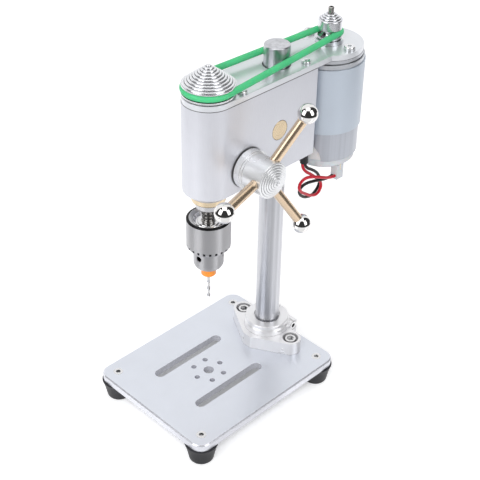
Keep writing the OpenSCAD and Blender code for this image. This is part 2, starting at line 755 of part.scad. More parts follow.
module motor_shaft() {
    color("silver") at_motor() difference() {
        turned([[0, cap_z + 1], [shaft_r, cap_z + 1], [shaft_r, deck_top + motor_pulley_h - 0.1],
            [stud_r, deck_top + motor_pulley_h - 0.1], [stud_r, deck_top + motor_stud_h - 0.3],
            [stud_r - 0.3, deck_top + motor_stud_h], [0, deck_top + motor_stud_h]]);
        hex_rod(1.1, deck_top + motor_stud_h - 2.5, deck_top + motor_stud_h + through);
    }
}
module motor_terminals() {
    color("goldenrod") at_motor() for (x = terminal_x)
        translate([x - 1.1, terminal_y - 0.3, cap_z - 4]) cube([2.2, 0.6, end_cap_h + 4]);
}

// Wiring
module wire_connector() {
    color("whitesmoke") at_column() difference() {
        translate([connector_x - connector_w / 2, connector_y, cap_z - connector_h])
            cube([connector_w, connector_l, connector_h]);
        for (x = terminal_x) translate([x - 1.15, motor_y + terminal_y - 0.35, cap_z - 4.1])
            cube([2.3, 0.7, 5]);
    }
}
module wire_sleeve() {
    color("black") translate([wire_x, column_y + wire_y, head_z]) difference() {
        rod(wire_sleeve_r, -wire_sleeve_drop, 6);
        rod(wire_sleeve_r - 0.4, -wire_sleeve_drop - through, 6 + through);
    }
}
wire_sides = 8;
function unit(v) = v / norm(v);
function heading(p, i) = unit(p[min(i + 1, len(p) - 1)] - p[max(i - 1, 0)]);
function tube_ring(p, i) = let (t = heading(p, i), u = unit(cross(t, [1, 0, 0])), v = cross(t, u))
    [for (j = [0 : wire_sides - 1]) let (a = 360 * j / wire_sides)
        p[i] + wire_r * (cos(a) * u + sin(a) * v)];
module tube(p) {
    n = len(p);
    k = wire_sides;
    polyhedron([for (i = [0 : n - 1]) each tube_ring(p, i)], concat(
        [for (i = [0 : n - 2], j = [0 : k - 1]) let (a = i * k + j, b = i * k + (j + 1) % k)
            each [[a, a + k, b + k], [a, b + k, b]]],
        [[for (j = [0 : k - 1]) j], [for (j = [0 : k - 1]) n * k - 1 - j]]));
}
module red_wire() {
    color("red") translate([0, column_y, head_z]) tube(red_route);
}
module black_wire() {
    color("black") translate([0, column_y, head_z]) tube(black_route);
}
jack_body_r = 4;
jack_body_l = 11;
module dc_jack() {
    color("dimgray") along_x(-head_r, jack_y, head_z + jack_lift) {
        ring(2.9, jack_body_r, 0, jack_body_l - 3);
        rod(jack_body_r, jack_body_l - 3 - eps, jack_body_l - 0.2);
        ring(2.9, jack_body_r + 1.2, -1.2, 0);
        rod(1, 0, jack_body_l - 3);
    }
}

// Return spring behind its cover
spring_turns = 4.5;
spring_t = 0.4;
spring_in = 4.1;
spring_arbor_r = spring_in - 0.7;
spring_out = 8.5;
spring_points = 24;
function spiral(r_off) = [for (i = [0 : spring_turns * spring_points])
    let (a = 360 * i / spring_points,
        r = spring_in + (spring_out - spring_in) * i / (spring_turns * spring_points) + r_off)
        [r * cos(a), r * sin(a)]];
function backwards(p) = [for (i = [len(p) - 1 : -1 : 0]) p[i]];
module return_spring() {
    color("slategray") at_pinion(-head_r + spring_cover_t + 0.3)
        linear_extrude(height = spring_pocket_d - spring_cover_t - 0.6)
            polygon(concat(spiral(0), backwards(spiral(spring_t))));
}
module spring_cover() {
    color("gainsboro") at_pinion(-head_r) difference() {
        rod(spring_pocket_r - seat_fit, 0, spring_cover_t);
        for (s = [-1, 1]) translate([0, s * 5.5, 0]) rod(1, -through, spring_cover_t + through);
    }
}

// Quill with its rack towards the column
rack_low = pinion_z - rack_reach;
first_tooth = -2;
last_tooth = ceil((quill_top_z - pinion_z) / rack_step);
module quill() {
    color("silver") at_spindle() difference() {
        rod(quill_r, quill_z, quill_top_z);
        rod(low_bearing[1] + seat_fit, quill_z - through, quill_z + bearing_gap + low_bearing[2]);
        rod(spindle_r + 0.8, quill_z, quill_top_z + through);
        rod(high_bearing[1] + seat_fit, quill_top_z - high_bearing[2] - bearing_gap, quill_top_z + through);
        translate([-quill_r, rack_pitch_y + addendum, rack_low])
            cube([2 * quill_r, quill_r, quill_top_z - rack_low + through]);
        for (i = [first_tooth : last_tooth])
            translate([-quill_r - 1, rack_pitch_y, pinion_z + i * rack_step]) rotate([90, 0, 90])
                linear_extrude(height = 2 * quill_r + 2) rack_space();
    }
}
module rack_space() {
    half = rack_step / 4 + backlash / 2;
    slope = tan(pressure_angle);
    top = addendum + 0.5;
    polygon([[-dedendum, -half + dedendum * slope], [-dedendum, half - dedendum * slope],
        [top, half + top * slope], [top, -half - top * slope]]);
}
module spindle_bearings() {
    color("lightsteelblue") at_spindle() {
        ball_bearing(low_bearing, quill_z + bearing_gap, run_fit);
        ball_bearing(high_bearing, quill_top_z - high_bearing[2] - bearing_gap, run_fit);
    }
}

// Spindle, chuck and bit
taper_h = 14.5;
taper = 0.05;
cup_depth = 2.2;
cup_z = chuck_top_z - cup_depth;
cup_collar_r = 6.8;
neck_r = nose_r - 0.5;
neck_groove = 0.7;
neck_rings = 4;
module spindle_taper(fit) {
    translate([0, 0, cup_z - taper_h])
        cylinder(r1 = nose_r - taper * taper_h / 2 + fit, r2 = nose_r + fit, h = taper_h);
}
module spindle() {
    neck_step = (quill_z - 0.1 - cup_z) / neck_rings;
    color("dimgray") at_spindle() {
        spindle_taper(0);
        turned(concat([[0, cup_z - eps], [neck_r, cup_z - eps]],
            [for (i = [0 : neck_rings - 1], p = [[0, 0.4], [neck_groove, 0.4], [neck_groove, 0.9], [0, 0.9]])
                [neck_r - p[0], cup_z + (i + p[1]) * neck_step]],
            [[neck_r, quill_z - 0.1], [0, quill_z - 0.1]]));
        rod(spindle_r, quill_z - 0.1 - eps, quill_top_z - high_bearing[2] - bearing_gap - 1);
        rod(hex_r, quill_top_z - high_bearing[2] - bearing_gap - 1 - eps, quill_top_z + 0.5);
        hex_rod(hex_r, quill_top_z, spindle_top_z);
    }
}
chuck_core_r = 10;
jaw_room_r = 11.6;
key_teeth = 23;
key_gap_w = 1.5;
key_gap_d = 1.6;
key_gap_rise = 1.3;
key_turn = 8;
chuck_turn = -23;
sleeve_bevel_h = 2.6;
module chuck_body() {
    color("silver") at_spindle() difference() {
        turned([[0, chuck_z], [6.6, chuck_z], [chuck_nose_r - 1.6, chuck_z + 0.5],
            [chuck_nose_r - 0.8, chuck_z + 1.3], [chuck_nose_r - 0.25, chuck_z + 2.3],
            [chuck_nose_r, chuck_z + 3.4],
            [chuck_nose_r, sleeve_z], [chuck_core_r, sleeve_z + 0.5],
            [chuck_core_r, chuck_top_z - 1.6], [chuck_core_r - 0.5, chuck_top_z - 1.1],
            [cup_collar_r + 0.9, cup_z - 0.8], [cup_collar_r, cup_z - 0.8], [cup_collar_r, cup_z - 0.3],
            [cup_collar_r - 0.3, cup_z], [0, cup_z]]);
        spindle_taper(seat_fit);
        rod(3.2, chuck_z - through, cup_z - taper_h + eps);
        for (i = [0 : 2]) jaw_place(i) translate([0, 0, -12]) cylinder(r = jaw_r + jaw_gap, h = 39);
        for (i = [0 : 2]) rotate([0, 0, chuck_turn + 60 + 120 * i])
            translate([0, 0, sleeve_z - key_hole_drop])
                rotate([0, 90, 0]) rod(key_hole_r, 6, chuck_nose_r + 1);
    }
}
key_hole_drop = 4.4;
key_hole_r = 1.9;
// Jaw i: its axis leans out from the chuck axis at the nose
module jaw_place(i) {
    rotate([0, 0, chuck_turn + 120 * i]) translate([jaw_root, 0, chuck_z])
        rotate([0, jaw_tilt, 0]) children();
}
module chuck_sleeve() {
    bevel_z = sleeve_z + sleeve_bevel_h;
    color("silver") at_spindle() difference() {
        turned([[chuck_core_r + run_fit, sleeve_z], [sleeve_r - 2.4, sleeve_z], [sleeve_r, bevel_z],
            [sleeve_r, chuck_top_z - 0.6], [sleeve_r - 0.6, chuck_top_z], [sleeve_r - 2, chuck_top_z],
            [chuck_core_r + run_fit, chuck_top_z - 1.6], [chuck_core_r + run_fit, sleeve_z + 16],
            [jaw_room_r, sleeve_z + 15], [jaw_room_r, sleeve_z + 3],
            [chuck_core_r + run_fit, sleeve_z + 2]]);
        for (i = [0 : key_teeth - 1]) rotate([0, 0, key_turn + 360 * i / key_teeth])
            translate([sleeve_r - key_gap_d, -key_gap_w / 2, sleeve_z - 1])
                cube([4, key_gap_w, 1 + sleeve_bevel_h + key_gap_rise]);
    }
}
// One jaw: a leaning rod cut to a wedge whose tip lies along the bit
module chuck_jaw(i) {
    side = 20;
    near = shank_d / 2 + jaw_gap;
    color("gray") at_spindle() intersection() {
        jaw_place(i) translate([0, 0, -6]) cylinder(r = jaw_r, h = 45);
        rotate([0, 0, chuck_turn + 120 * i]) translate([0, 0, chuck_z + 0.2])
            linear_extrude(height = jaw_h)
            polygon([[near, -near * tan(60) + 2 * jaw_gap], [side, -side * tan(60) + 2 * jaw_gap],
                [side, side * tan(60) - 2 * jaw_gap], [near, near * tan(60) - 2 * jaw_gap]]);
    }
}
// Fluted end, short cone and the shank that the jaws hold
bit_grip = 16;
bit_point_h = 0.6;
shank_cone_h = 4;
bit_ring_top = chuck_z - 0.2;
bit_ring_z = bit_ring_top - bit_ring_h;
module drill_bit() {
    color("silver") at_spindle() turned([[0, bit_z], [bit_d / 2, bit_z + bit_d / 2 * bit_point_h],
        [bit_d / 2, bit_ring_z - shank_cone_h], [shank_d / 2, bit_ring_z],
        [shank_d / 2, chuck_z + bit_grip], [0, chuck_z + bit_grip]]);
}
module bit_ring() {
    color("orange") at_spindle() turned([[shank_d / 2 + seat_fit, bit_ring_z],
        [bit_ring_r - 0.4, bit_ring_z], [bit_ring_r, bit_ring_z + 0.4],
        [bit_ring_r, bit_ring_top - 0.4], [bit_ring_r - 0.4, bit_ring_top],
        [shank_d / 2 + seat_fit, bit_ring_top]]);
}

// Feed hub, levers and pinion
hub_steps = 7;
module feed_hub() {
    step_h = (hub_tip_x - hub_barrel_x) / hub_steps;
    step_r = (hub_r - 1.5) / hub_steps;
    color("gainsboro") difference() {
        at_pinion(0) turned(concat([[0, hub_face_x], [hub_disc_r, hub_face_x],
            [hub_disc_r, hub_disc_x], [hub_r + 0.5, hub_disc_x],
            [hub_r + 0.5, hub_shoulder_x], [hub_r, hub_shoulder_x]],
            ribs(hub_r, hub_barrel_x, step_r, step_h, hub_steps),
            [[1, hub_tip_x - 1.2], [0, hub_tip_x - 1.2]]));
        at_pinion(0) rod(journal_r + seat_fit, hub_face_x - through, hub_bore_x);
        for (i = [0 : 2]) lever_place(i) rod(lever_d / 2 + seat_fit, lever_root - 0.2, 2 * hub_r);
    }
}
// Levers leave the hub axis at lever_root_x and lean out by lever_lean
module lever_place(i) {
    translate([lever_root_x, column_y + pinion_y, pinion_z]) rotate([60 + 120 * i, 0, 0])
        rotate([-90, 0, 0]) rotate([0, lever_lean, 0]) children();
}
ball_s = ball_reach / cos(lever_lean);
module feed_levers() {
    color("khaki") for (i = [0 : 2]) lever_place(i) rod(lever_d / 2, lever_root, ball_s - 1);
}
module lever_balls() {
    color("silver") for (i = [0 : 2]) lever_place(i) difference() {
        translate([0, 0, ball_s]) sphere(d = ball_d);
        rod(lever_d / 2 + seat_fit, ball_s - ball_d, ball_s - 0.8);
    }
}
base_circle_r = pinion_r * cos(pressure_angle);
flank_points = 5;
function roll(r) = let (a = acos(base_circle_r / r)) tan(a) * 180 / PI - a;
tooth_half = (rack_step / 2 - backlash) / 2 / pinion_r * 180 / PI;
function flank(i) = let (r = base_circle_r + (pinion_tip_r - base_circle_r) * i / flank_points)
    [r, tooth_half + roll(pinion_r) - roll(max(r, base_circle_r + eps / 10))];
root_r = pinion_r - dedendum;
tooth_outline = concat([[root_r, flank(0)[1]]], [for (i = [0 : flank_points]) flank(i)]);
module pinion_outline() {
    polygon([for (t = [0 : pinion_teeth - 1]) let (turn = 360 * t / pinion_teeth)
        each concat([for (p = tooth_outline) [p[0] * cos(turn - p[1]), p[0] * sin(turn - p[1])]],
            [for (p = backwards(tooth_outline)) [p[0] * cos(turn + p[1]), p[0] * sin(turn + p[1])]])]);
}
module pinion_shaft() {
    color("silver") at_pinion(0) {
        rod(journal_r, -head_r + spring_pocket_d + 0.3, hub_bore_x - 0.2);
        rod(spring_arbor_r, -head_r + spring_cover_t + 0.5, -head_r + spring_pocket_d + 0.3 + eps);
        rotate([0, 0, 90]) translate([0, 0, -pinion_w / 2])
            linear_extrude(height = pinion_w) pinion_outline();
    }
}

base_plate();
feet();
foot_screws();
column_seat();
seat_bolts();
seat_clamp_screw();
column();
head_body();
quill_bush();
pinion_bush();
clamp_plug();
clamp_bolt();
top_plate();
plate_screws();
motor_screws();
pulley_bearings();
spindle_pulley();
drive_belt();
motor_pulley();
pulley_set_screw();
motor_boss_ring();
motor_collar();
motor_sleeve();
motor_can();
motor_magnets();
motor_bearings();
motor_armature();
motor_commutator();
motor_brushes();
motor_brush_holder();
motor_end_cap();
motor_shaft();
motor_terminals();
wire_connector();
wire_sleeve();
red_wire();
black_wire();
dc_jack();
return_spring();
spring_cover();
quill();
spindle_bearings();
spindle();
chuck_body();
chuck_sleeve();
chuck_jaw(0);  // chuck_jaw_1
chuck_jaw(1);  // chuck_jaw_2
chuck_jaw(2);  // chuck_jaw_3
drill_bit();
bit_ring();
feed_hub();
feed_levers();
lever_balls();
pinion_shaft();
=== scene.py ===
import math

import bmesh
import bpy
from mathutils import Matrix, Vector


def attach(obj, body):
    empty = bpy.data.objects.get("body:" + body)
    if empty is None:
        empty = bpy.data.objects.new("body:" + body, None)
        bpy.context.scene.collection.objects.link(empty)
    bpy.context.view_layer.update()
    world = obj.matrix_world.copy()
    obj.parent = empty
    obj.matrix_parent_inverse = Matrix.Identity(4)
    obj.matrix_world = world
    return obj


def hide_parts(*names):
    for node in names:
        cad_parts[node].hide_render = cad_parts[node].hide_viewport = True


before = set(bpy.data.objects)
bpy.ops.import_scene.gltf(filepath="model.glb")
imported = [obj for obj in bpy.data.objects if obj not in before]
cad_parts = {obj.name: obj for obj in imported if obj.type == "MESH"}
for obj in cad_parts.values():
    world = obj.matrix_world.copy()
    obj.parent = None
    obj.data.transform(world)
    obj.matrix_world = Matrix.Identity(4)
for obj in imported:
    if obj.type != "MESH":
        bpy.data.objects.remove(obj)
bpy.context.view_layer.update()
MM = 0.001


def mm(x, y, z):
    """A point given in millimetres, in metres."""
    return Vector((x, y, z)) * MM


# Places in the shared frame, in millimetres
COLUMN_Y = 20.5
SPINDLE_Y = -34.9
MOTOR_Y = 67.2
PINION_Y = -18.6
PINION_Z = 178.1
PLUG_Y = 8.5
PLUG_Z = 192.3
HEAD_Z = 163.7
PLATE_Z = 222.4
CHUCK_TOP_Z = 142.5
SLEEVE_Z = 120.3
CHUCK_Z = 106.4
BIT_Z = 81.3
CHUCK_NOSE_R = 9.4
SLEEVE_R = 13.75
SLEEVE_BEVEL_W = 2.4
SLEEVE_BEVEL_H = 2.6
SPINDLE_GROOVE_Z = 230.2
MOTOR_GROOVE_Z = 232.6
BASE_MID_Y = -26
FOOT_X = 40.5
FOOT_YS = (COLUMN_Y - 100, COLUMN_Y + 7)

# Axes as axial() takes them: a direction, and where it crosses the other two
SPINDLE_AXIS = ("z", (0, SPINDLE_Y))
MOTOR_AXIS = ("z", (0, MOTOR_Y))
PINION_AXIS = ("x", (PINION_Y, PINION_Z))
PLUG_AXIS = ("x", (PLUG_Y, PLUG_Z))

# Camera
CAMERA_AZIMUTH = math.radians(44.665)
CAMERA_ELEVATION = math.radians(35.271)
CAMERA_ROLL = math.radians(1.099)
CAMERA_DISTANCE = 753.062
CAMERA_TARGET = mm(-27.619, 20.5, 84.228)
CAMERA_LENS = 83.212


def make_camera():
    a, e, r = CAMERA_AZIMUTH, CAMERA_ELEVATION, CAMERA_ROLL
    back = Vector((math.sin(a) * math.cos(e), -math.cos(a) * math.cos(e), math.sin(e)))
    level = Vector((math.cos(a), math.sin(a), 0))
    upright = back.cross(level)
    right = math.cos(r) * level + math.sin(r) * upright
    up = -math.sin(r) * level + math.cos(r) * upright
    data = bpy.data.cameras.new("camera")
    data.lens = CAMERA_LENS
    data.sensor_width = 36
    data.clip_start, data.clip_end = 0.01, 20
    camera = bpy.data.objects.new("camera", data)
    place = CAMERA_TARGET + back * CAMERA_DISTANCE * MM
    columns = Matrix((right, up, back)).transposed().to_4x4()
    camera.matrix_world = Matrix.Translation(place) @ columns
    bpy.context.scene.collection.objects.link(camera)
    bpy.context.scene.camera = camera


make_camera()


# Node materials
def node(tree, kind, props=None, args=(), **inputs):
    """Adds a node. A value that is a socket is linked, any other is set."""
    made = tree.nodes.new("ShaderNode" + kind)
    for key, value in (props or {}).items():
        setattr(made, key, value)
    pairs = [(made.inputs[i], v) for i, v in enumerate(args)]
    pairs += [(made.inputs[k.replace("_", " ")], v) for k, v in inputs.items()]
    for socket, value in pairs:
        if isinstance(value, bpy.types.NodeSocket):
            tree.links.new(value, socket)
        else:
            socket.default_value = value
    return made


def math_node(tree, operation, *args):
    return node(tree, "Math", {"operation": operation}, args).outputs[0]


def times(tree, *factors):
    """The product of sockets and numbers."""
    product = factors[0]
    for factor in factors[1:]:
        product = math_node(tree, "MULTIPLY", product, factor)
    return product


def new_material(name):
    material = bpy.data.materials.new(name)
    material.use_nodes = True
    tree = material.node_tree
    return material, tree, tree.nodes["Principled BSDF"]


def object_point(tree):
    return node(tree, "TexCoord").outputs["Object"]


def coordinates(tree, point):
    return node(tree, "SeparateXYZ", args=(point,)).outputs


def noise(tree, point, scale, detail, stretch=None):
    """Noise from about 0 to 1. stretch scales the point along x, y and z first."""
    if stretch:
        point = node(tree, "Mapping", args=(point,), Scale=stretch).outputs[0]
    return node(tree, "TexNoise", Vector=point, Scale=scale, Detail=detail).outputs["Fac"]


def spread(tree, value, low, high, start=0.3, end=0.7):
    """Value from start to end becomes low to high, and stays there."""
    return node(
        tree, "MapRange", Value=value, From_Min=start, From_Max=end, To_Min=low, To_Max=high
    ).outputs[0]


def ramp(tree, distance, start, end, low=0, high=1):
    """The same for a distance, with start and end in millimetres."""
    return spread(tree, distance, low, high, start * MM, end * MM)


def axial(tree, point, axis, centre):
    """Distance along an axis and from it, for an axis along x or z in millimetres."""
    parts = coordinates(tree, point)
    along, first, second = {"x": (0, 1, 2), "z": (2, 0, 1)}[axis]
    u = math_node(tree, "SUBTRACT", parts[first], centre[0] * MM)
    v = math_node(tree, "SUBTRACT", parts[second], centre[1] * MM)
    square = math_node(tree, "ADD", times(tree, u, u), times(tree, v, v))
    return parts[along], math_node(tree, "SQRT", square)


def lathe_lines(tree, point, axis, centre, pitch):
    """Fine lines round an axis, as a lathe tool leaves them, from 0 to 1.
    They also cross faces that are square to the axis, somewhat wider apart."""
    face_share = 0.83
    along, radius = axial(tree, point, axis, centre)
    travel = math_node(tree, "ADD", along, times(tree, radius, face_share))
    count = math_node(tree, "DIVIDE", travel, pitch * MM)
    lines = node(tree, "TexNoise", {"noise_dimensions": "1D"}, W=count, Scale=1.0, Detail=3.0)
    return lines.outputs["Fac"]


def edge_wear_and_highlight(tree, radius):
    """The normal with edges rounded to a radius, and a mask that is 1 on edges, where the color
    is lightened as wear and as a painted highlight.
    """
    bevel = node(tree, "Bevel", {"samples": 4}, Radius=radius * MM).outputs[0]
    flat = node(tree, "NewGeometry").outputs["Normal"]
    same = node(tree, "VectorMath", {"operation": "DOT_PRODUCT"}, (bevel, flat))
    return bevel, spread(tree, same.outputs["Value"], 1.0, 0.0, 0.75, 0.995)


def painted_crevice_shade(tree, reach, open_at):
    """Painted shade: 1 in gaps and sockets narrower than the reach, where shade falls, 0 on open
    faces.
    """
    shade = node(tree, "AmbientOcclusion", {"samples": 5}, Distance=reach * MM)
    return spread(tree, shade.outputs["AO"], 1.0, 0.0, 0.25, open_at)


def over(tree, fac, base, top):
    """Color base with color top over it where fac is 1."""
    mix = tree.nodes.new("ShaderNodeMix")
    mix.data_type = "RGBA"
    for key, value in (("Factor", fac), ("A", base), ("B", top)):
        if isinstance(value, bpy.types.NodeSocket):
            tree.links.new(value, mix.inputs[key])
        else:
            mix.inputs[key].default_value = (*value, 1)
    return mix.outputs["Result"]


def scaled(color, k):
    return tuple(min(1.0, c * k) for c in color)


def clouded(tree, cloud, color, variation):
    """The color, darker and lighter by the variation along the cloud."""
    dark, light = scaled(color, 1 - variation), scaled(color, 1 + variation)
    return over(tree, spread(tree, cloud, 0, 1), dark, light)


def bumped(tree, height, depth, normal):
    """The normal with bumps of a depth in millimetres."""
    bump = node(tree, "Bump", Strength=1.0, Distance=depth * MM, Height=height, Normal=normal)
    return bump.outputs[0]


def emission(tree, color, strength):
    return node(tree, "Emission", Color=(*color, 1), Strength=strength).outputs[0]


# How dark the marks on metal are, and the painted shade in its gaps, as a share of its color
GRAIN_SHADE = 0.86
LINE_SHADE = 0.84
STREAK_SHADE = 0.55
GAP_PAINTED_SHADE = 0.12

# Noise scales
METAL_CLOUDS = 60
PLASTIC_CLOUDS = 90
STREAKS = 420


def metal(
    name,
    color,
    roughness,
    metallic=1.0,
    edge=0.25,
    edge_light=1.12,
    turned=None,
    pitch=0.25,
    line_depth=0.02,
    grain=9000,
    grain_depth=0.004,
    stretch=None,
    variation=0.018,
    rough_variation=0.03,
    anisotropic=0.0,
    masks=(),
    gap=1.2,
    gap_open=0.62,
    streaks=0.0,
):
    """Machined, blasted or polished metal, with widths and depths in millimetres.
    edge is the radius of the edges, which are lighter in color as wear and as a painted
    highlight, and edge_light how bright they are. turned is the axis of the lathe lines, and
    pitch how far apart they are. grain is a noise scale, and stretch draws the grain out.
    masks are (function of the tree and point giving a 0 to 1 socket, color, roughness).
    Gaps narrower than gap get painted shade. streaks is how strongly the metal is
    drawn along z."""
    material, tree, bsdf = new_material(name)
    point = object_point(tree)
    bevel, edges = edge_wear_and_highlight(tree, edge)
    cloud = noise(tree, point, METAL_CLOUDS, 3.0)
    fine = noise(tree, point, grain, 2.0, stretch)
    base = clouded(tree, cloud, color, variation)
    base = over(tree, spread(tree, fine, 0, 0.25), base, scaled(color, GRAIN_SHADE))
    # Edges lighter in color: partly wear, partly a painted highlight
    base = over(tree, edges, base, scaled(color, edge_light))
    rough = spread(tree, cloud, roughness - rough_variation, roughness + rough_variation)
    normal = bumped(tree, fine, grain_depth, bevel)
    if turned:
        lines = lathe_lines(tree, point, *turned, pitch)
        normal = bumped(tree, lines, line_depth, normal)
        base = over(tree, spread(tree, lines, 0, 0.35), base, scaled(color, LINE_SHADE))
    for mask, mask_color, mask_rough in masks:
        fac = mask(tree, point)
        base = over(tree, fac, base, mask_color)
        rest = times(tree, rough, math_node(tree, "SUBTRACT", 1.0, fac))
        rough = math_node(tree, "ADD", rest, times(tree, fac, mask_rough))
    if streaks:
        drawn = noise(tree, point, STREAKS, 2.0, (1, 1, 0.004))
        base = over(tree, spread(tree, drawn, 0, streaks), base, scaled(color, STREAK_SHADE))
    # Painted shade in gaps and sockets, where shade falls
    base = over(tree, painted_crevice_shade(tree, gap, gap_open), base, scaled(color, GAP_PAINTED_SHADE))
    tree.links.new(base, bsdf.inputs["Base Color"])
    tree.links.new(rough, bsdf.inputs["Roughness"])
    tree.links.new(normal, bsdf.inputs["Normal"])
    bsdf.inputs["Metallic"].default_value = metallic
    bsdf.inputs["Anisotropic"].default_value = anisotropic
    bsdf.inputs["Anisotropic Rotation"].default_value = 0.25
    return material


def plastic(
    name,
    color,
    roughness,
    edge=0.3,
    grain=2500,
    grain_depth=0.02,
    variation=0.05,
    soft=0.0,
    edge_light=1.08,
):
    """Moulded plastic or rubber with a fine grain and edges lighter in color, partly rubbed and
    partly a painted highlight.
    """
    rough_variation = 0.07
    material, tree, bsdf = new_material(name)
    point = object_point(tree)
    bevel, edges = edge_wear_and_highlight(tree, edge)
    cloud = noise(tree, point, PLASTIC_CLOUDS, 3.0)
    fine = noise(tree, point, grain, 3.0)
    base = clouded(tree, cloud, color, variation)
    # Edges lighter in color: partly wear, partly a painted highlight
    base = over(tree, edges, base, scaled(color, edge_light))
    rough = spread(tree, fine, roughness - rough_variation, roughness + rough_variation)
    tree.links.new(base, bsdf.inputs["Base Color"])
    tree.links.new(rough, bsdf.inputs["Roughness"])
    tree.links.new(bumped(tree, fine, grain_depth, bevel), bsdf.inputs["Normal"])
    bsdf.inputs["Subsurface Weight"].default_value = soft
    bsdf.inputs["Subsurface Scale"].default_value = 0.002
    return material


# Masks
def black_top_ring(tree, point):
    """1 on the outer top edge of the chuck's sleeve."""
    along, radius = axial(tree, point, *SPINDLE_AXIS)
    high = ramp(tree, along, CHUCK_TOP_Z - 0.95, CHUCK_TOP_Z - 0.85)
    return times(tree, high, ramp(tree, radius, 12.0, 12.1))


def chuck_cup(tree, point):
    """1 in the cup on top of the chuck's body."""
    along, _ = axial(tree, point, *SPINDLE_AXIS)
    return ramp(tree, along, CHUCK_TOP_Z - 9, CHUCK_TOP_Z - 8)


def key_hole_painted_shade(tree, point):
    """Painted shade: 1 inside the key holes of the chuck's nose, which are painted near black."""
    along, radius = axial(tree, point, *SPINDLE_AXIS)
    inside = ramp(tree, radius, CHUCK_NOSE_R - 0.5, CHUCK_NOSE_R - 0.3, 1, 0)
    above = ramp(tree, along, CHUCK_Z + 4, CHUCK_Z + 4.5)
    below = ramp(tree, along, SLEEVE_Z - 1.5, SLEEVE_Z - 1, 1, 0)
    return times(tree, inside, above, below)


def key_notch_painted_shade(tree, point):
    """Painted shade: 1 inside the key notches of the chuck's sleeve, a little below its bevel."""
    along, radius = axial(tree, point, *SPINDLE_AXIS)
    narrow = (SLEEVE_R - SLEEVE_BEVEL_W) * MM
    bevel = ramp(tree, along, SLEEVE_Z, SLEEVE_Z + SLEEVE_BEVEL_H, narrow, SLEEVE_R * MM)
    deep = ramp(tree, math_node(tree, "SUBTRACT", bevel, radius), 0.15, 0.35)
    above = ramp(tree, along, SLEEVE_Z + 0.05, SLEEVE_Z + 0.15)
    below = ramp(tree, along, SLEEVE_Z + 6, SLEEVE_Z + 6.1, 1, 0)
    return times(tree, deep, above, below)


def plate_seam(tree, point):
    """Dark on the joint between the head and its top plate."""
    rise = coordinates(tree, point)[2]
    away = math_node(tree, "ABSOLUTE", math_node(tree, "SUBTRACT", rise, PLATE_Z * MM))
    return ramp(tree, away, 0.16, 0.24, 0.85, 0)


def hub_ring(tree, point):
    """Dark on the face of the head close round the hub's disc, in its shadow."""
    face_x, disc_r, shadow_r = 15.4, 12.5, 13.3
    along, radius = axial(tree, point, *PINION_AXIS)
    side = ramp(tree, along, face_x, face_x + 0.1)
    return times(tree, side, ramp(tree, radius, disc_r, shadow_r, 0.8, 0))


def cut_faces(tree, _):
    """1 on upright faces and chamfers, which show bare metal."""
    normal = node(tree, "NewGeometry").outputs["True Normal"]
    rise = coordinates(tree, normal)[2]
    return spread(tree, math_node(tree, "ABSOLUTE", rise), 1, 0, 0.8, 0.9)


SEAM_MASK = (plate_seam, (0.12, 0.12, 0.13), 0.5)

